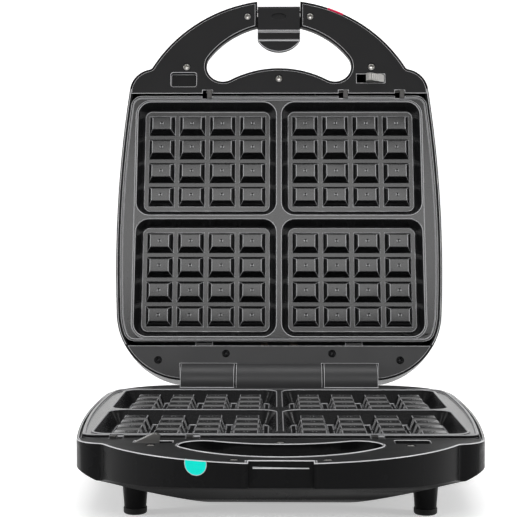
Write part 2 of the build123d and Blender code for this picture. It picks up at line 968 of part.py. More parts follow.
def catch_bar(half):
    """Sliding strip with three catches, an arm for the lever and a tab for the spring."""
    bottom = bar_depth + bar_thickness
    nose_bottom = catch_top + catch_thickness
    with BuildPart() as bar:
        add(box(half, bar_left, bar_right, bar_rear, bar_front, bar_depth, bottom))
        add(box(half, lever_outer, arm_inner, bar_front, lever_front, bar_depth, bottom))
        for x in catch_spots:
            left = x - catch_half
            right = x + catch_half
            add(box(half, left, right, bar_rear, catch_riser_front, catch_top, bottom))
            add(box(half, left, right, catch_nose_reach, bar_rear, catch_top, nose_bottom))
        tab_end = spring_depth + spring_radius
        add(box(half, spring_start - spring_tab, spring_start, bar_rear, bar_front, bottom, tab_end))
    return bar.part


def release_lever(half):
    """Thumb piece of the catch bar, which rises out of its slot."""
    with BuildPart() as lever:
        with BuildSketch(cross_plane(half, lever_front)):
            with BuildLine():
                Polyline(
                    (lever_heel, bar_depth),
                    (lever_outer, bar_depth),
                    (lever_outer, lever_toe_depth),
                    (lever_slope_x, -lever_slope),
                )
                ThreePointArc(
                    (lever_slope_x, -lever_slope),
                    (lever_peak_x, -lever_peak),
                    (lever_inner, -lever_tip),
                )
                Line((lever_inner, -lever_tip), (lever_heel, bar_depth))
            make_face()
        extrude(amount=lever_front - lever_rear)
    return lever.part


def release_spring(half):
    """Coil spring that pushes the catch bar home."""
    middle = (bar_rear + bar_front) / 2
    start = half.from_local_coords((spring_start + spring_gap, middle, spring_depth))
    pitch = spring_length / spring_turns
    coil_radius = spring_radius - spring_wire / 2
    with BuildPart() as spring:
        with BuildLine() as line:
            Helix(pitch, spring_length, coil_radius, start, half.x_dir)
        path = line.line
        with BuildSketch(Plane(origin=path @ 0, z_dir=path % 0)):
            Circle(spring_wire / 2)
        sweep(path=path, is_frenet=True)
    return spring.part


def lens(half, is_lid):
    """Clear lens let into the front wall of the handle."""
    with BuildPart() as glass:
        add(moulding(half, is_lid))
        add(moulding(half, is_lid, lens_thickness), mode=Mode.SUBTRACT)
        add(lens_bar(half, -lens_fit), mode=Mode.INTERSECT)
        behind = deck(is_lid, lip_wall - lens_fit)
        add(pad(half, behind, -above, seat_depth + lens_fit), mode=Mode.SUBTRACT)
    return glass.part


def lamp(half):
    """Small neon lamp behind the lens."""
    with BuildPart() as bulb:
        with BuildSketch(cross_plane(half, lamp_front)):
            with Locations((lens_x, lamp_depth)):
                Circle(lamp_radius)
        extrude(amount=lamp_length)
    return bulb.part


def latch(half):
    """Clip that hangs from the tip of the lid's handle and hooks under the base's handle."""
    back = latch_face_depth + latch_thickness
    with BuildPart() as clip:
        with BuildSketch(half.offset(latch_face_depth)):
            add(rectangle(-latch_half, latch_half, latch_groove_reach, latch_pivot_reach))
            with BuildLine():
                ThreePointArc(
                    (-latch_half, latch_groove_reach),
                    (0, latch_tip_reach),
                    (latch_half, latch_groove_reach),
                )
                Line((latch_half, latch_groove_reach), (-latch_half, latch_groove_reach))
            make_face()
        extrude(amount=latch_thickness)
        add(latch_rod(half, latch_half, latch_barrel_radius))
        for reach in (latch_ridge_reach, latch_groove_reach):
            ridge = rectangle(-latch_half, latch_half, reach - latch_ridge / 2, reach + latch_ridge / 2)
            add(pad(half, ridge, 0, latch_face_depth))
        groove = rectangle(
            -latch_half,
            latch_half,
            latch_groove_reach + latch_ridge / 2,
            latch_ridge_reach - latch_ridge / 2,
        )
        add(pad(half, groove, 0, latch_face_depth + latch_groove_depth), mode=Mode.SUBTRACT)
        with BuildSketch(half.offset(0)):
            with Locations((0, latch_dimple_reach)):
                Ellipse(*latch_dimple)
        extrude(amount=latch_face_depth + latch_dimple_depth, mode=Mode.SUBTRACT)
        hook = rectangle(-hook_half, hook_half, hook_reach - hook_length, hook_reach)
        add(pad(half, hook, back, back + hook_rise))
        add(latch_rod(half, far, latch_pin_radius + rod_run), mode=Mode.SUBTRACT)
    return clip.part


os.makedirs("parts", exist_ok=True)

for name, half, is_lid in (("base", base_half, False), ("lid", lid_half, True)):
    save(shell(half, is_lid), f"{name}_shell")
    save(handle_cover(half, is_lid), f"{name}_handle_cover")
    save(hinge_cover(half, is_lid), f"{name}_hinge_cover")
    save(cover_screws(half, cover_screw_spots), f"{name}_cover_screws")
    save(cover_screws(half, rear_screw_spots), f"{name}_rear_screws")
    save(cooking_plate(half), f"{name}_plate")
    save(reflector(half), f"{name}_reflector")
    tray_seat = tray_floor - tray_thickness
    save(small_screws(half, pillar_spots, tray_seat, small_screw_length), f"{name}_reflector_screws")
    save(heater(half), f"{name}_heater")
    save(heater_brackets(half), f"{name}_heater_brackets")
    thermostat = discs([(0, thermostat_reach)], thermostat_radius)
    save(pad(half, thermostat, tray_floor, tray_floor + thermostat_height), f"{name}_thermostat")
    fuse_ends = [(side * fuse_length / 2, fuse_reach, fuse_depth) for side in (-1, 1)]
    save(tube(half, fuse_ends, fuse_radius, 0), f"{name}_thermal_fuse")
    save(catch_bar(half), f"{name}_catch_bar")
    save(release_lever(half), f"{name}_release_lever")
    save(release_spring(half), f"{name}_release_spring")

save(lens(base_half, False), "ready_lens")
save(lamp(base_half), "ready_lamp")
save(lens(lid_half, True), "power_lens")
save(lamp(lid_half), "power_lamp")

rod_end = outer_barrel_end - rod_short
save(cylinder_across(base_half, -rod_end, rod_end, rod_radius), "hinge_rod")

with BuildPart() as hinge_washers:
    washer_start = centre_barrel_half + washer_gap
    washer_end = outer_barrel_start - washer_gap
    for start, end in ((washer_start, washer_end), (-washer_end, -washer_start)):
        add(cylinder_across(base_half, start, end, washer_radius))
    add(cylinder_across(base_half, -far, far, rod_radius + rod_run), mode=Mode.SUBTRACT)
save(hinge_washers.part, "hinge_washers")

save(latch(lid_half), "latch")
save(latch_rod(lid_half, pin_half, latch_pin_radius), "latch_pin")

for spot, name in zip(leg_spots(), ("front_left", "front_right", "back_left", "back_right")):
    with BuildPart() as foot:
        add(pad(base_half, discs([spot], foot_radius), stand_height - foot_height, stand_height))
        fillet(foot.edges().group_by(Axis.Z)[0], foot_round)
        plug_top = stand_height - foot_height - plug_length
        add(pad(base_half, discs([spot], plug_radius), plug_top, stand_height - foot_height))
    save(foot.part, f"foot_{name}")

with BuildPart() as bottom_cover:
    add(pad(base_half, bottom_cover_plan(0), bottom_seat, bottom_seat + bottom_cover_thickness))
    chamfer(bottom_cover.edges().group_by(Axis.Z)[0], bottom_chamfer)
    screw_holes = discs(bottom_screw_spots, small_screw_radius + screw_sink_fit)
    add(pad(base_half, screw_holes, half_depth - above, far), mode=Mode.SUBTRACT)
    head_holes = discs(bottom_screw_spots, small_head_radius + screw_sink_fit)
    add(pad(base_half, head_holes, bottom_head_seat, far), mode=Mode.SUBTRACT)
save(bottom_cover.part, "bottom_cover")

with BuildPart() as bottom_screws:
    shanks = discs(bottom_screw_spots, small_screw_radius)
    add(pad(base_half, shanks, bottom_head_seat - bottom_screw_length, bottom_head_seat))
    heads = discs(bottom_screw_spots, small_head_radius)
    add(pad(base_half, heads, bottom_head_seat, bottom_head_seat + small_head_height))
save(bottom_screws.part, "bottom_screws")

with BuildPart() as cord_gland:
    add(gland_disc(base_half, gland_flange_radius, -gland_flange, 0))
    add(gland_disc(base_half, gland_radius, 0, wall + gland_inner))
    add(gland_disc(base_half, gland_nut_radius, wall + screw_hole_fit, wall + gland_inner))
    add(gland_disc(base_half, gland_bore, -gland_flange, wall + gland_inner), mode=Mode.SUBTRACT)
save(cord_gland.part, "cord_gland")

with BuildPart() as terminal_block:
    with BuildSketch(base_half.offset(half_depth - wall)):
        with Locations((0, block_reach)):
            Rectangle(block_width, block_length)
    extrude(amount=-block_height)
save(terminal_block.part, "terminal_block")

with BuildPart() as base_leads:
    lead_depth = half_depth - wall - block_height / 2
    block_rear = block_reach - block_length / 2
    for side in (-1, 1):
        x = side * heater_lead_x
        route = [
            (x, heater_end, heater_depth),
            (x, lead_drop_reach, heater_depth),
            (x, lead_drop_reach, lead_depth),
            (x, block_rear, lead_depth),
        ]
        add(tube(base_half, route, lead_radius, lead_bend))
        x = side * mains_x
        route = [
            (x, rear_reach, gland_depth),
            (x, rear_reach + gland_inner + lead_run, gland_depth),
            (x, block_rear - lead_run, lead_depth),
            (x, block_rear, lead_depth),
        ]
        add(tube(base_half, route, lead_radius, lead_bend))
save(base_leads.part, "base_leads")

with BuildPart() as lid_leads:
    for side in (-1, 1):
        x = side * heater_lead_x
        route = [(x, heater_end, heater_depth), (x, lid_lead_end, heater_depth)]
        add(tube(lid_half, route, lead_radius, 0))
save(lid_leads.part, "lid_leads")
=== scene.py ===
# %% [markdown]
# A multi snack maker has two hinged halves of moulded plastic. Each one carries a
# pressed metal plate with a non-stick coat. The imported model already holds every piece
# at its real size and in its place, and this script leaves them all there. It softens
# edges, models the small things that catch the eye, and gives each piece its finish.

# %% Load the frame
import json
from math import cos, degrees, pi, radians, sin

import bmesh
import bpy
from mathutils import Matrix, Vector
from mathutils.bvhtree import BVHTree


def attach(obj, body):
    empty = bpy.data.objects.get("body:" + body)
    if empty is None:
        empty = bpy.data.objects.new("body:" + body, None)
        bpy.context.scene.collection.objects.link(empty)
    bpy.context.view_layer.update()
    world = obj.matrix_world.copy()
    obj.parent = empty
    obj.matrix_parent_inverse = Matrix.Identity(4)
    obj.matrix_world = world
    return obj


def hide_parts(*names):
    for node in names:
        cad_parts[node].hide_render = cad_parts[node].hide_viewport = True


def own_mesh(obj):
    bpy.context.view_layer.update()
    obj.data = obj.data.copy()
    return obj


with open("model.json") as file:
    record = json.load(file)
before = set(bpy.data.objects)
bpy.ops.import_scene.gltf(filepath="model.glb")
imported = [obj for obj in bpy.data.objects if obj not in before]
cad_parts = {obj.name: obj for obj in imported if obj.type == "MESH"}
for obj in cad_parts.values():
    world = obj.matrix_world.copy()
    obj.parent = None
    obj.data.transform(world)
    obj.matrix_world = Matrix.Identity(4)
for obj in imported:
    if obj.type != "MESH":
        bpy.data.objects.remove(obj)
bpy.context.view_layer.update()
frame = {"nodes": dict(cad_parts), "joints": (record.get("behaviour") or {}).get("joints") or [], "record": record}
MM = 0.001

# %% [markdown]
# Both halves are the same moulding turned over, so what is built for one half fits the
# other. A half has its own axes: across, out from the hinge to the front, and down into
# the half. Two matrices carry such a place into the room. They follow from the hinge,
# whose place and travel the frame gives.

# %% Find the hinge and the two halves
COVER_GAP = 3.0 * MM
hinge = next(joint for joint in frame["joints"] if joint["name"] == "lid_hinge")
HINGE = Vector(hinge["pos_m"])
OPEN_ANGLE = radians(hinge["range_deg"][1])


def half_axes(turned):
    """Matrix from a half's own axes to the room; the lid is turned over and swung open."""
    flat = Matrix(((1, 0, 0, 0), (0, -1, 0, 0), (0, 0, -1, -COVER_GAP / 2), (0, 0, 0, 1)))
    if turned:
        over = Matrix.Rotation(pi, 4, "Y")
        flat = Matrix.Rotation(-OPEN_ANGLE, 4, "X") @ over @ flat
    return Matrix.Translation(HINGE) @ flat


HALVES = {"base": half_axes(False), "lid": half_axes(True)}
print("hinge", HINGE, "opens", degrees(OPEN_ANGLE))

# %% [markdown]
# The camera stands where the photographer stood: low, straight in front, with a long
# lens. A long lens keeps the near base and the far lid at like scales. Its numbers come
# from matching points of both halves, so they are given in pixels of that picture and
# in distances from the hinge.

# %% Camera
PHOTO_SIDE = 517
FOCAL_PIXELS = 1340.2
SENSOR = 36.0
CAMERA_BACK = 1059.3 * MM
CAMERA_LEFT = 3.9 * MM
CAMERA_RISE = 140.3 * MM
CAMERA_PITCH = radians(2.25)
CAMERA_YAW = radians(0.668)

camera = bpy.data.objects.new("camera", bpy.data.cameras.new("camera"))
bpy.context.scene.collection.objects.link(camera)
camera.data.sensor_width = SENSOR
camera.data.lens = FOCAL_PIXELS * SENSOR / PHOTO_SIDE
camera.location = HINGE + Vector((-CAMERA_LEFT, -CAMERA_BACK, CAMERA_RISE))
camera.rotation_euler = (pi / 2 - CAMERA_PITCH, 0, CAMERA_YAW)
bpy.context.scene.camera = camera
bpy.context.scene.view_settings.view_transform = "Standard"
print("lens", round(camera.data.lens, 1), "mm")

# %% [markdown]
# Materials are node trees. A few small helpers are enough for all of them. One turns a
# hex colour, as a paint chart gives it, to the linear values that shaders take, and one
# adds a node with its settings and its links.

# %% Helpers for materials
def linear(code):
    """Linear colour of an sRGB hex code, by the curve of the sRGB standard."""
    parts = [int(code[i : i + 2], 16) / 255 for i in (1, 3, 5)]
    return [p / 12.92 if p <= 0.04045 else ((p + 0.055) / 1.055) ** 2.4 for p in parts] + [1.0]


def add_node(tree, kind, settings=None, links=None):
    """Adds a shader node, gives it its settings and links its inputs."""
    made = tree.nodes.new("ShaderNode" + kind)
    for key, value in (settings or {}).items():
        if isinstance(key, str) and hasattr(made, key):
            setattr(made, key, value)
        else:
            made.inputs[key].default_value = value
    for key, source in (links or {}).items():
        tree.links.new(source, made.inputs[key])
    return made


def new_material(name):
    """An empty material and its node tree."""
    material = bpy.data.materials.new(name)
    material.use_nodes = True
    material.node_tree.nodes.clear()
    return material, material.node_tree


def place_scale(size_mm):
    """Noise scale that repeats about once in a real size, as coordinates are in metres."""
    return 1 / (size_mm * MM)


print("half grey is", round(linear("#808080")[0], 3), "in linear light")

# %% [markdown]
# Most of the body is black ABS. Its mould was spark-eroded to a fine matt grain, so the
# colour is even and the gloss is soft. The grain could be cut into the mesh, but noise
# in the material fits every shape and costs nothing. A wide, faint noise in the
# roughness stands for handling marks, and a fine one in the bump for the grain. The
# real grain is under 0.1 mm and can't show at this size, so it is drawn at 0.5 mm.

# %% Moulded plastic as a node tree
GRAIN_MM = 0.5
GRAIN_HEIGHT = 0.05 * MM
MARKS_MM = 30.0
NOISE_LOW, NOISE_HIGH = 0.3, 0.7  # nearly all of the noise lies between these
SHINIER, DULLER = -0.04, 0.05  # what the marks add to the roughness
TINT_SPREAD = 0.1


def moulded_plastic(name, colour, roughness, grain, gloss=0.5, ior=1.53):
    """Moulded plastic with a fine grain and faint marks; gloss 0.5 is the IOR's own."""
    material, tree = new_material(name)
    place = add_node(tree, "TexCoord").outputs["Object"]
    marks = add_node(
        tree, "TexNoise", {"Scale": place_scale(MARKS_MM), "Detail": 4.0}, {"Vector": place}
    ).outputs["Fac"]
    spread = add_node(
        tree,
        "MapRange",
        {
            "From Min": NOISE_LOW,
            "From Max": NOISE_HIGH,
            "To Min": roughness + SHINIER,
            "To Max": roughness + DULLER,
        },
        {"Value": marks},
    )
    tint = add_node(tree, "ValToRGB", links={"Fac": marks})
    base = linear(colour)[:3]
    tint.color_ramp.elements[0].color = [(1 - TINT_SPREAD) * part for part in base] + [1]
    tint.color_ramp.elements[1].color = [(1 + TINT_SPREAD) * part for part in base] + [1]
    fine = add_node(
        tree, "TexNoise", {"Scale": place_scale(GRAIN_MM), "Detail": 2.0}, {"Vector": place}
    )
    bump = add_node(
        tree, "Bump", {"Strength": grain, "Distance": GRAIN_HEIGHT}, {"Height": fine.outputs["Fac"]}
    )
    shader = add_node(
        tree,
        "BsdfPrincipled",
        {"IOR": ior, "Specular IOR Level": gloss},
        {
            "Base Color": tint.outputs["Color"],
            "Roughness": spread.outputs["Result"],
            "Normal": bump.outputs["Normal"],
        },
    )
    add_node(tree, "OutputMaterial", links={"Surface": shader.outputs["BSDF"]})
    return material


print("grain is drawn at", GRAIN_MM, "mm and marks at", MARKS_MM, "mm")

# %% [markdown]
# The shells are the smoothest of these plastics, the handle covers have more grain, and
# the rear covers are charcoal instead of black. The rounded edges of a moulding glint
# along their length. A glint is thinner than a pixel here, so such an edge gets a
# painted highlight: a light grey finish of its own. The leads inside have a sleeve of
# glass braid, which is as dull as a coarse grain.

# %% Plastics, rubber and sleeve
black_abs = moulded_plastic(
    "black_abs_semi_gloss", "#0c0c0d", roughness=0.26, grain=0.12, gloss=0.06
)
grained_abs = moulded_plastic(
    "black_abs_fine_grain", "#151516", roughness=0.5, grain=0.35, gloss=0.15
)
grey_abs = moulded_plastic("charcoal_abs_satin", "#333334", roughness=0.42, grain=0.2, gloss=0.24)
# Painted highlight: light grey for the rounds that glint, in place of a glint thinner than a pixel.
painted_highlight_abs = moulded_plastic("black_abs_painted_edge_highlight", "#c6c6c8", roughness=0.25, grain=0.0)
black_nylon = moulded_plastic(
    "black_nylon_moulded", "#0c0c0c", roughness=0.5, grain=0.3, gloss=0.3
)
white_nylon = moulded_plastic("white_polyamide_moulded", "#d9d6cc", roughness=0.5, grain=0.2)
foot_rubber = moulded_plastic(
    "black_epdm_rubber_moulded", "#121212", roughness=0.45, grain=0.4, gloss=0.2, ior=1.52
)
sleeve = moulded_plastic("glass_braid_sleeve", "#b9b2a0", roughness=0.8, grain=0.6)
print("plastics made")

# %% [markdown]
# The cooking plates are pressed aluminium with a sprayed PTFE coat. The coat is dark
# grey with a soft gloss, has fine orange peel from the spray, and holds small mineral
# flecks, which lighten it here and there. The flecks could be scattered as points, but
# the peaks of a noise do the same. They are drawn at 0.7 mm, coarser than the real
# ones. On a pressed edge the coat catches the light, so its rounds that glint get a
# painted highlight, a light grey copy of the coat, as the edges of the mouldings do.

# %% Non-stick coat
PEEL_MM = 1.2
PEEL_HEIGHT = 0.05 * MM
FLECK_MM = 0.7
FLECK_STARTS, FLECK_FULL = 0.56, 0.72


def nonstick_coat(name, colour, fleck_colour, roughness):
    """Sprayed non-stick coat over pressed aluminium."""
    material, tree = new_material(name)
    place = add_node(tree, "TexCoord").outputs["Object"]
    flecks = add_node(
        tree, "TexNoise", {"Scale": place_scale(FLECK_MM), "Detail": 3.0}, {"Vector": place}
    )
    choice = add_node(tree, "ValToRGB", links={"Fac": flecks.outputs["Fac"]})
    plain, fleck = choice.color_ramp.elements
    plain.position, plain.color = FLECK_STARTS, linear(colour)
    fleck.position, fleck.color = FLECK_FULL, linear(fleck_colour)
    peel = add_node(
        tree, "TexNoise", {"Scale": place_scale(PEEL_MM), "Detail": 2.0}, {"Vector": place}
    )
    bump = add_node(
        tree, "Bump", {"Strength": 0.25, "Distance": PEEL_HEIGHT}, {"Height": peel.outputs["Fac"]}
    )
    shader = add_node(
        tree,
        "BsdfPrincipled",
        {"IOR": 1.5, "Roughness": roughness, "Specular IOR Level": 0.3},
        {"Base Color": choice.outputs["Color"], "Normal": bump.outputs["Normal"]},
    )
    add_node(tree, "OutputMaterial", links={"Surface": shader.outputs["BSDF"]})
    return material


ptfe_coat = nonstick_coat("ptfe_coat_sprayed", "#131314", "#1e1e1f", roughness=0.2)
# Painted highlight: a light grey copy of the coat for the plate's rounds that glint.
ptfe_painted_highlight = nonstick_coat("ptfe_coat_painted_edge_highlight", "#9a9a9c", "#a8a8aa", roughness=0.25)
print("non-stick coat made")

# %% [markdown]
# The metal pieces differ in how they were finished. Cover screws are nickel plated, and
# rear screws have black oxide. The thumb levers are zinc plated with a satin look, and
# on the catch bars, beside the hot plates, the zinc has dulled. Trays are bare sheet
# steel with rolling marks along one direction, rod and pin are bright bar, and the
# heater's sheath has browned in use. A metal's colour is what it reflects, so metallic
# is 1 and only roughness and colour change. One noise makes all the marks. It stretches
# along the direction in which the sheet was rolled or the bar was drawn.

# %% Metals
ROLL_MM = 0.6
STREAK_HEIGHT = 0.02 * MM
STREAK_SPREAD = 0.08
ALONG_Y, ALONG_X = (1, 0.06, 1), (0.06, 1, 1)


def finished_metal(name, colour, roughness, stretch=(1, 1, 1)):
    """Metal with faint marks, stretched to streaks where it was rolled or drawn."""
    material, tree = new_material(name)
    place = add_node(tree, "TexCoord").outputs["Object"]
    along = add_node(tree, "Mapping", {"Scale": stretch}, {"Vector": place})
    streaks = add_node(
        tree,
        "TexNoise",
        {"Scale": place_scale(ROLL_MM), "Detail": 3.0},
        {"Vector": along.outputs["Vector"]},
    ).outputs["Fac"]
    rough = add_node(
        tree,
        "MapRange",
        {"To Min": roughness - STREAK_SPREAD, "To Max": roughness + STREAK_SPREAD},
        {"Value": streaks},
    )
    bump = add_node(
        tree, "Bump", {"Strength": 0.1, "Distance": STREAK_HEIGHT}, {"Height": streaks}
    )
    shader = add_node(
        tree,
        "BsdfPrincipled",
        {"Base Color": linear(colour), "Metallic": 1.0},
        {"Roughness": rough.outputs["Result"], "Normal": bump.outputs["Normal"]},
    )
    add_node(tree, "OutputMaterial", links={"Surface": shader.outputs["BSDF"]})
    return material


nickel = finished_metal("nickel_plated_steel", "#b9b7b3", roughness=0.3)
satin_zinc = finished_metal("zinc_plated_steel_satin", "#8a8987", roughness=0.42)
dull_zinc = finished_metal("zinc_plated_steel_dulled", "#4d4c4b", roughness=0.5)
black_oxide = finished_metal("black_oxide_steel", "#2a2a2b", roughness=0.4)
sheet_steel = finished_metal("cold_rolled_sheet_steel", "#9a9a9a", roughness=0.4, stretch=ALONG_Y)
spring_steel = finished_metal("spring_steel_drawn", "#8c8b88", roughness=0.3)
heater_sheath = finished_metal("heater_sheath_oxidised", "#5d5248", roughness=0.45)
turned_steel = finished_metal("turned_steel_bright", "#b4b4b4", roughness=0.25, stretch=ALONG_X)
print("metals made")

# %% [markdown]
# The lamp windows are tinted polycarbonate with a neon lamp behind. The tint is milky
# and goes all through. A clear window would show the dark inside of the shell, so this
# one is a coloured solid with a soft gloss, and a little light of its own stands for
# the lamp.

# %% Lamp windows and lamps
CLOUD_MM = 4.0
WINDOW_SMOOTH, WINDOW_ROUGH = 0.12, 0.2


def tinted_window(name, colour, glow):
    """Tinted polycarbonate, lit from behind by its lamp."""
    material, tree = new_material(name)
    place = add_node(tree, "TexCoord").outputs["Object"]
    cloud = add_node(tree, "TexNoise", {"Scale": place_scale(CLOUD_MM)}, {"Vector": place})
    rough = add_node(
        tree,
        "MapRange",
        {"To Min": WINDOW_SMOOTH, "To Max": WINDOW_ROUGH},
        {"Value": cloud.outputs["Fac"]},
    )
    shader = add_node(
        tree,
        "BsdfPrincipled",
        {
            "Base Color": linear(colour),
            "IOR": 1.58,
            "Specular IOR Level": 0.08,
            "Emission Color": linear(colour),
            "Emission Strength": glow,
        },
        {"Roughness": rough.outputs["Result"]},
    )
    add_node(tree, "OutputMaterial", links={"Surface": shader.outputs["BSDF"]})
    return material


def lamp_glass(name):
    """Clear glass of a neon lamp."""
    material, tree = new_material(name)
    shader = add_node(
        tree,
        "BsdfPrincipled",
        {
            "Base Color": linear("#ffd9c4"),
            "Roughness": 0.05,
            "IOR": 1.52,
            "Transmission Weight": 0.9,
        },
    )
    add_node(tree, "OutputMaterial", links={"Surface": shader.outputs["BSDF"]})
    return material


green_window = tinted_window("polycarbonate_green_blue", "#00d2c3", glow=0.16)
red_window = tinted_window("polycarbonate_red", "#c4274a", glow=0.1)
neon_glass = lamp_glass("neon_lamp_glass")
print("windows made")

# %% [markdown]
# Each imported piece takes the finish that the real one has. A list of name endings is
# shorter than a list of pieces, because both halves have the same ones.

# %% Which piece has which finish
FINISH_BY_ENDING = {
    "_shell": black_abs,
    "_handle_cover": grained_abs,
    "_hinge_cover": grey_abs,
    "_cover_screws": nickel,
    "_rear_screws": black_oxide,
    "_plate": ptfe_coat,
    "_reflector": sheet_steel,
    "_reflector_screws": sheet_steel,
    "_heater": heater_sheath,
    "_heater_brackets": sheet_steel,
    "_thermostat": turned_steel,
    "_thermal_fuse": turned_steel,
    "_catch_bar": dull_zinc,
    "_release_lever": satin_zinc,
    "_release_spring": spring_steel,
    "_leads": sleeve,
    "_lamp": neon_glass,
    "ready_lens": green_window,
    "power_lens": red_window,
    "hinge_rod": turned_steel,
    "hinge_washers": black_nylon,
    "latch": grained_abs,
    "latch_pin": turned_steel,
    "bottom_cover": black_abs,
    "bottom_screws": black_oxide,
    "cord_gland": black_nylon,
    "terminal_block": white_nylon,
}


def finish_of(name):
    """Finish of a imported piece, by the longest ending that fits its name."""
    if name.startswith("foot_"):
        return foot_rubber
    endings = [ending for ending in FINISH_BY_ENDING if name.endswith(ending)]
    return FINISH_BY_ENDING[max(endings, key=len)]


for name, piece in frame["nodes"].items():
    piece.data.materials.clear()
    piece.data.materials.append(finish_of(name))
print(len(frame["nodes"]), "packed pieces have a finish")

# %% [markdown]
# A new piece rides on the body that its real one moves with. Where it stands in for an
# imported piece, it takes that piece's body, which the record lists, and its finish.
# Flat faces should look flat beside their rounds, so the normals are weighted by the
# size of the faces.

# %% Show a new piece
SHARP = radians(28)
LARGE_FACE_WEIGHT = 100  # 50 is neutral, 100 lets the large faces decide
BODY_OF = {
    name: body for body, names in frame["record"]["behaviour"]["bodies"].items() for name in names
}


def show(name, mesh, body, finish):
    """Puts a mesh in the scene as a piece that rides on a body."""
    piece = bpy.data.objects.new(name, mesh)
    bpy.context.scene.collection.objects.link(piece)
    mesh.materials.clear()
    mesh.materials.append(finish)
    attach(piece, body)
    return piece


def stand_in(node, mesh):
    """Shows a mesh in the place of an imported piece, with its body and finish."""
    piece = show(node + "_dressed", mesh, BODY_OF[node], finish_of(node))
    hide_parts(node)
    return piece


def even_normals(piece):
    """Smooth shading that keeps flat faces flat beside their rounded edges."""
    piece.data.shade_smooth()
    piece.data.set_sharp_from_angle(angle=SHARP)
    weigh = piece.modifiers.new("even_normals", "WEIGHTED_NORMAL")
    weigh.keep_sharp = True
    weigh.weight = LARGE_FACE_WEIGHT


# %% [markdown]
# A moulded or pressed piece has no knife edges: each has a small round, and it is the
# round that catches the light as a thin bright line. The imported solids have sharp
# edges, so a softened copy stands in for each large piece that shows. A plain Bevel
# modifier would round every edge alike. Here the edges are picked by where they lie, so
# the bevel is cut in the mesh, and where the real one glints its faces get a painted
# highlight, a light colour.

# %% Round the edges of a copy
WELD = 2e-6
SAME_PLANE = radians(0.4)
ROUND_STEPS = 2
EVEN_PROFILE = 0.5


def everywhere(*place_and_facing):
    """Test that every edge passes."""
    return True


def soften(node, half, width_mm, painted_highlight_finish, rounds=everywhere, glints=everywhere):
    """Rounds the sharp edges of a copy; both tests take places in the half's own axes."""
    inward = HALVES[half].inverted()
    turn_inward = inward.to_3x3()
    mesh = frame["nodes"][node].data.copy()
    bm = bmesh.new()
    bm.from_mesh(mesh)
    bmesh.ops.remove_doubles(bm, verts=bm.verts, dist=WELD)
    bmesh.ops.dissolve_limit(bm, angle_limit=SAME_PLANE, verts=bm.verts, edges=bm.edges)
    sharp = [edge for edge in bm.edges if edge.is_manifold and edge.calc_face_angle() > SHARP]
    made = bmesh.ops.bevel(
        bm,
        geom=[edge for edge in sharp if all(rounds(inward @ vert.co) for vert in edge.verts)],
        offset=width_mm * MM,
        segments=ROUND_STEPS,
        profile=EVEN_PROFILE,
        affect="EDGES",
        clamp_overlap=False,
    )
    bm.faces.index_update()
    # Rounds that pass the glint test are painted light, as a painted highlight.
    bright = [
        face.index
        for face in made["faces"]
        if glints(inward @ face.calc_center_median(), turn_inward @ face.normal)
    ]
    bm.to_mesh(mesh)
    bm.free()
    piece = stand_in(node, mesh)
    mesh.materials.append(painted_highlight_finish)
    for index in bright:
        mesh.polygons[index].material_index = 1
    even_normals(piece)


print("edges over", round(degrees(SHARP)), "degrees are rounded")

# %% [markdown]
# Which edges glint depends on the light and on the piece, and those that glint get a
# painted highlight. On a plate it is the rim and the sides of the pegs. On a shell it is
# the lip beside the plate, and on the base the front and the raised panel that the latch
# clips over. A screw's hole has a dark rim. On the latch it is the ridges and the tab
# below the thumb dent. Each rule is a small test on a place in the half's own axes.

# %% Which edges of plate and shell glint
# Middles and half sizes of the plate's pockets, then bounds of lip, panel and plate.
POCKET_ACROSS, POCKET_HALF_ACROSS = 59.55 * MM, 47 * MM
POCKET_MIDDLE, POCKET_ALONG, POCKET_HALF_ALONG = 136.05 * MM, 50.25 * MM, 39 * MM
LIP_DEPTH = 0.6 * MM
PANEL_HALF, PANEL_REACH, PANEL_DEPTH = 16.5 * MM, 312 * MM, 6 * MM
PLATE_REAR, PLATE_FRONT = 32 * MM, 245 * MM


def rim_or_peg_side(spot, facing):
    """A plate's edges glint on its rim, but only on the sides of the pegs."""
    among_pegs = (
        abs(abs(spot.x) - POCKET_ACROSS) < POCKET_HALF_ACROSS
        and abs(abs(spot.y - POCKET_MIDDLE) - POCKET_ALONG) < POCKET_HALF_ALONG
    )
    return not among_pegs or abs(facing.x) > abs(facing.y)


def on_lip(spot):
    """Whether a place is on the lip of a shell."""
    return spot.z < LIP_DEPTH


def on_lip_or_panel(spot):
    """Whether a place is on the base's lip, or on the panel that the latch clips over."""
    on_panel = abs(spot.x) < PANEL_HALF and spot.y > PANEL_REACH and spot.z < PANEL_DEPTH
    return on_lip(spot) or on_panel


def beside_plate(spot, facing):
    """The lip's inner edge glints, beside the plate."""
    return PLATE_REAR < spot.y < PLATE_FRONT and facing.x * spot.x < 0


def beside_plate_or_in_front(spot, facing):
    """On the base, the edges in front of the plate glint as well."""
    return spot.y > PLATE_FRONT or beside_plate(spot, facing)


SHELL_TESTS = {"base": (on_lip_or_panel, beside_plate_or_in_front), "lid": (on_lip, beside_plate)}
print("plate lies", PLATE_REAR, "to", PLATE_FRONT, "m from the hinge")

# %% [markdown]
# Screws come packed in groups. To find each one, the points that edges join are
# gathered, as one would pull a thread to see how far it goes. The latch's dent is found
# from the two ends of the latch.

# %% Find the screws, and the latch's dent
SCREW_ZONE = 4.6 * MM
RIDGES_PAST_MIDDLE = 1.5 * MM


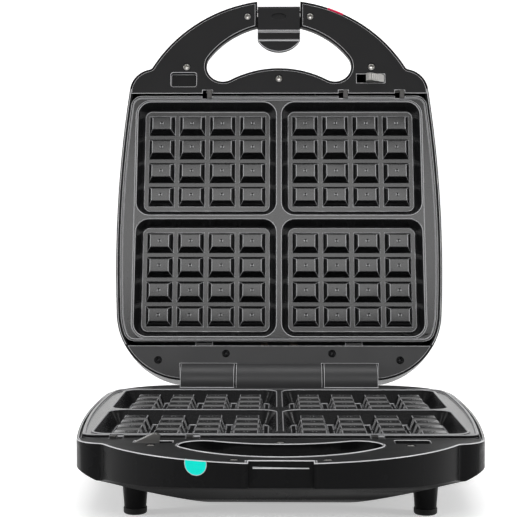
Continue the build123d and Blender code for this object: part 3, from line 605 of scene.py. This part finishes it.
def loose_parts(node, inward):
    """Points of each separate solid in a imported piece, in the axes of its half."""
    bm = bmesh.new()
    bm.from_mesh(frame["nodes"][node].data)
    bmesh.ops.remove_doubles(bm, verts=bm.verts, dist=WELD)
    parts, seen = [], set()
    for start in bm.verts:
        if start in seen:
            continue
        seen.add(start)
        part, queue = [], [start]
        while queue:
            vert = queue.pop()
            part.append(inward @ vert.co)
            for edge in vert.link_edges:
                other = edge.other_vert(vert)
                if other not in seen:
                    seen.add(other)
                    queue.append(other)
        parts.append(part)
    bm.free()
    return parts


def extent(places):
    """Lowest and highest corner of a group of points."""
    axes = list(zip(*places))
    return Vector([min(axis) for axis in axes]), Vector([max(axis) for axis in axes])


def away_from_screws(half, kind):
    """Test for an edge that isn't the rim of a screw's hole."""
    parts = loose_parts(f"{half}_{kind}", HALVES[half].inverted())
    screws = [(sum(part, Vector()) / len(part)).xy for part in parts]
    return lambda spot, facing: all((spot.xy - screw).length > SCREW_ZONE for screw in screws)


to_lid = HALVES["lid"].inverted()
latch_low, latch_high = extent([to_lid @ v.co for v in frame["nodes"]["latch"].data.vertices])
DENT_REACH = (latch_low.y + latch_high.y) / 2 + RIDGES_PAST_MIDDLE


def below_dent(spot, facing):
    """The latch's ridges and tab glint, below its thumb dent."""
    return spot.y < DENT_REACH


print("the latch's dent starts", round(DENT_REACH, 4), "m from the hinge")

# %% [markdown]
# Each kind of piece has a round of its own width: the shell's lip the widest, then the
# plate, and the thin covers the smallest. The latch is rounded like a cover, and the
# green-blue window like the shell that it sits in.

# %% Soften the pieces that show
PLATE_ROUND_MM = 0.45
COVER_ROUND_MM = 0.35
SHELL_ROUND_MM = 0.5

# The rounds that glint on plates, covers and shells get a painted highlight.
for half in HALVES:
    soften(half + "_plate", half, PLATE_ROUND_MM, ptfe_painted_highlight, glints=rim_or_peg_side)
    for cover, screws in (("handle_cover", "cover_screws"), ("hinge_cover", "rear_screws")):
        rimless = away_from_screws(half, screws)
        soften(f"{half}_{cover}", half, COVER_ROUND_MM, painted_highlight_abs, glints=rimless)
    soften(half + "_shell", half, SHELL_ROUND_MM, painted_highlight_abs, *SHELL_TESTS[half])
# The latch's ridges and tab, and every round of the green-blue window, get a painted highlight.
soften("latch", "lid", COVER_ROUND_MM, painted_highlight_abs, glints=below_dent)
soften("ready_lens", "base", SHELL_ROUND_MM, painted_highlight_abs)
print("softened copies made")

# %% [markdown]
# Screws have a domed head with a cross recess, which makes a bright ring with a dark
# middle. A bump could draw the cross, but it would look flat from the side. So the head
# is a small dome of rings, whose points are pushed down where they lie in the cross.
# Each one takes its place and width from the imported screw.

# %% Screw heads
DOME_RINGS = 10
DOME_SPOKES = 32
# The rest are shares of the head's radius.
CROSS_WIDTH = 0.26
CROSS_REACH = 0.72
CROSS_DEPTH = 0.6
DOME_RISE = 0.25


def screw_head(bm, half, centre, radius, top, bottom):
    """Adds a domed head with a cross recess; its place is in the axes of the half."""
    turns = [2 * pi * spoke / DOME_SPOKES + pi / 4 for spoke in range(DOME_SPOKES)]

    def point(u, v, depth):
        """Adds a point, u and v radii from the middle of the head."""
        place = Vector((centre.x + u * radius, centre.y + v * radius, depth))
        return bm.verts.new(HALVES[half] @ place)

    rings = []
    for ring in range(1, DOME_RINGS + 1):
        share = ring / DOME_RINGS
        rings.append([])
        for turn in turns:
            u, v = share * cos(turn), share * sin(turn)
            depth = DOME_RISE * radius * share * share
            low, high = sorted((abs(u), abs(v)))
            if low < CROSS_WIDTH and high < CROSS_REACH:
                depth += CROSS_DEPTH * radius
            rings[-1].append(point(u, v, top + depth))
    middle = point(0, 0, top + CROSS_DEPTH * radius)
    foot = [point(cos(turn), sin(turn), bottom) for turn in turns]
    rings.append(foot)
    for spoke in range(DOME_SPOKES):
        after = (spoke + 1) % DOME_SPOKES
        bm.faces.new((middle, rings[0][spoke], rings[0][after]))
        for inner, outer in zip(rings, rings[1:]):
            bm.faces.new((inner[spoke], outer[spoke], outer[after], inner[after]))
    bm.faces.new(list(reversed(foot)))


def dress_screws(half, kind):
    """Shows every screw of a packed group with a modelled head, and counts them."""
    node = f"{half}_{kind}"
    parts = loose_parts(node, HALVES[half].inverted())
    bm = bmesh.new()
    for part in parts:
        low, high = extent(part)
        screw_head(bm, half, (low + high) / 2, (high.x - low.x) / 2, low.z, high.z)
    bmesh.ops.recalc_face_normals(bm, faces=bm.faces)
    mesh = bpy.data.meshes.new(node + "_heads")
    bm.to_mesh(mesh)
    bm.free()
    even_normals(stand_in(node, mesh))
    return len(parts)


for half in HALVES:
    print(half, "screws", dress_screws(half, "cover_screws"), dress_screws(half, "rear_screws"))

# %% [markdown]
# The thumb levers are pressed with ribs that give the thumb a hold. Thin round bars lie
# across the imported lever. The lever is bent, so a ray sent down into it finds its
# surface under both ends of each bar. A bar is made only near the lever's top, where
# the thumb lies.

# %% Ribs on the levers
RIB_RADIUS = 0.3 * MM
RIB_SINK = 0.4 * RIB_RADIUS
RIB_STEP = 1.5 * MM
RIB_SIDES = 8
RIB_EDGE = 0.9 * MM
RIB_ZONE = 3 * MM
RAY_START = 5 * MM
DOWN = Vector((0, 0, 1))  # into the half, in the half's own axes


def add_bar(bm, half, ends):
    """Adds a round bar between two places in the axes of a half."""
    rows = []
    for end in ends:
        rows.append([])
        for side in range(RIB_SIDES):
            turn = 2 * pi * side / RIB_SIDES
            place = end + Vector((RIB_RADIUS * cos(turn), 0, RIB_RADIUS * sin(turn)))
            rows[-1].append(bm.verts.new(HALVES[half] @ place))
    rear, front = rows
    for side in range(RIB_SIDES):
        after = (side + 1) % RIB_SIDES
        bm.faces.new((rear[side], front[side], front[after], rear[after]))
    bm.faces.new(rear)
    bm.faces.new(list(reversed(front)))


def rib_mesh(half, node):
    """Round bars across a lever, laid on its surface."""
    lever = bmesh.new()
    lever.from_mesh(frame["nodes"][node].data)
    lever.transform(HALVES[half].inverted())
    surface = BVHTree.FromBMesh(lever)
    low, high = extent([vert.co for vert in lever.verts])
    lever.free()
    bm = bmesh.new()
    across = low.x + RIB_EDGE
    while across < high.x - RIB_EDGE:
        above = [
            Vector((across, reach, low.z - RAY_START))
            for reach in (low.y + RIB_EDGE, high.y - RIB_EDGE)
        ]
        hits = [surface.ray_cast(place, DOWN)[0] for place in above]
        ends = [hit + RIB_SINK * DOWN for hit in hits if hit]
        if len(ends) == len(above) and abs(ends[0].z - low.z) < RIB_ZONE:
            add_bar(bm, half, ends)
        across += RIB_STEP
    bmesh.ops.recalc_face_normals(bm, faces=bm.faces)
    mesh = bpy.data.meshes.new(node + "_ribs")
    bm.to_mesh(mesh)
    bm.free()
    mesh.shade_smooth()
    return mesh


for half in HALVES:
    node = half + "_release_lever"
    ribs = rib_mesh(half, node)
    if ribs.polygons:
        show(node + "_ribs", ribs, BODY_OF[node], nickel)
    print(node, "rib faces", len(ribs.polygons))

# %% [markdown]
# Each lever pushes against a small coil spring. One end of the spring stays where it is
# and the other follows the catch bar, so the real spring gets shorter as the lever moves.
# The record lists each spring with the joint that moves it, and here each one is shown
# as a smooth copy of the imported spring, on its body and with its finish. The end coil
# stays a little short of the catch bar.

# %% Springs
for joint in frame["record"]["behaviour"]["joints"]:
    for change in joint.get("deforming_nodes") or []:
        spring = stand_in(change["node"], frame["nodes"][change["node"]].data.copy())
        spring.data.shade_smooth()
        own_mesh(spring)

# %% [markdown]
# The object stands on a pale sweep, as in a studio: a floor that curves up into a wall,
# so that no line crosses the picture behind it. The paper reads as white because it
# glows a little, but only for the rays of the camera and for those that metal mirrors
# or glass lets through. More light would do that too, but it would wash out the black
# plastic.

# %% Floor and wall
FLOOR_HALF = 9.0
WALL_Y = 1.6
WALL_HEIGHT = 3.0
SWEEP_RADIUS = 0.5
SWEEP_STEPS = 12
PAPER_GLOW = 0.45


def sweep_mesh():
    """Floor that curves up into a back wall."""
    outline = [(-FLOOR_HALF, 0.0)]
    for step in range(SWEEP_STEPS + 1):
        turn = pi / 2 * step / SWEEP_STEPS
        back = WALL_Y - SWEEP_RADIUS + SWEEP_RADIUS * sin(turn)
        outline.append((back, SWEEP_RADIUS * (1 - cos(turn))))
    outline.append((WALL_Y, WALL_HEIGHT))
    verts = [(x, y, z) for y, z in outline for x in (-FLOOR_HALF, FLOOR_HALF)]
    faces = [(2 * i, 2 * i + 1, 2 * i + 3, 2 * i + 2) for i in range(len(outline) - 1)]
    mesh = bpy.data.meshes.new("stage_sweep")
    mesh.from_pydata(verts, [], faces)
    mesh.shade_smooth()
    return mesh


def backdrop_paper():
    """White paper that reads as white to the camera and still takes a shadow."""
    material, tree = new_material("backdrop_paper_matt")
    path = add_node(tree, "LightPath").outputs
    seen = path["Is Camera Ray"]
    for ray in ("Is Glossy Ray", "Is Transmission Ray"):
        seen = add_node(tree, "Math", {"operation": "MAXIMUM"}, {0: seen, 1: path[ray]}).outputs[0]
    lift = add_node(tree, "Math", {"operation": "MULTIPLY", 1: PAPER_GLOW}, {0: seen})
    paper = add_node(tree, "BsdfDiffuse", {"Color": linear("#f2f2f2")})
    glow = add_node(
        tree, "Emission", {"Color": linear("#ffffff")}, {"Strength": lift.outputs[0]}
    )
    both = add_node(tree, "AddShader", links={0: paper.outputs[0], 1: glow.outputs[0]})
    add_node(tree, "OutputMaterial", links={"Surface": both.outputs[0]})
    return material


sweep = bpy.data.objects.new("stage_sweep", sweep_mesh())
bpy.context.scene.collection.objects.link(sweep)
sweep.data.materials.append(backdrop_paper())
print("floor reaches", FLOOR_HALF, "m and the wall stands at", WALL_Y, "m")

# %% [markdown]
# The light is plain: one soft box high in front, one overhead, and a strip at each
# side. Flat faces of the open lid mirror the front box, which makes them grey, and
# sloping faces mirror the dim room, which makes them black. The strips light the sides
# and glint on the sides of the pegs, where the thin lines are also a painted highlight.

# %% Lights
LOOK_AT = Vector((0, 0, 0.18))
ROOM_LIGHT = 0.15
SOFT_BOXES = (
    # name, place in metres, width and height in metres, watts
    ("front_box", (0, -1.6, 1.15), (1.2, 0.5), 13),
    ("top_box", (0, 0.1, 1.8), (1.4, 0.8), 16),
    ("left_strip", (-1.3, -0.45, 0.45), (0.25, 1.3), 9),
    ("right_strip", (1.3, -0.45, 0.45), (0.25, 1.3), 9),
)

for name, place, size, watts in SOFT_BOXES:
    light = bpy.data.lights.new(name, "AREA")
    light.shape = "RECTANGLE"
    light.size, light.size_y = size
    light.energy = watts
    lamp = bpy.data.objects.new(name, light)
    lamp.location = place
    lamp.rotation_euler = (LOOK_AT - lamp.location).to_track_quat("-Z", "Y").to_euler()
    bpy.context.scene.collection.objects.link(lamp)

world = bpy.data.worlds.new("studio_room")
bpy.context.scene.world = world
world.use_nodes = True
world.node_tree.nodes.clear()
room = add_node(
    world.node_tree, "Background", {"Color": linear("#ffffff"), "Strength": ROOM_LIGHT}
)
add_node(world.node_tree, "OutputWorld", links={"Surface": room.outputs[0]})
print(len(SOFT_BOXES), "lights are set")
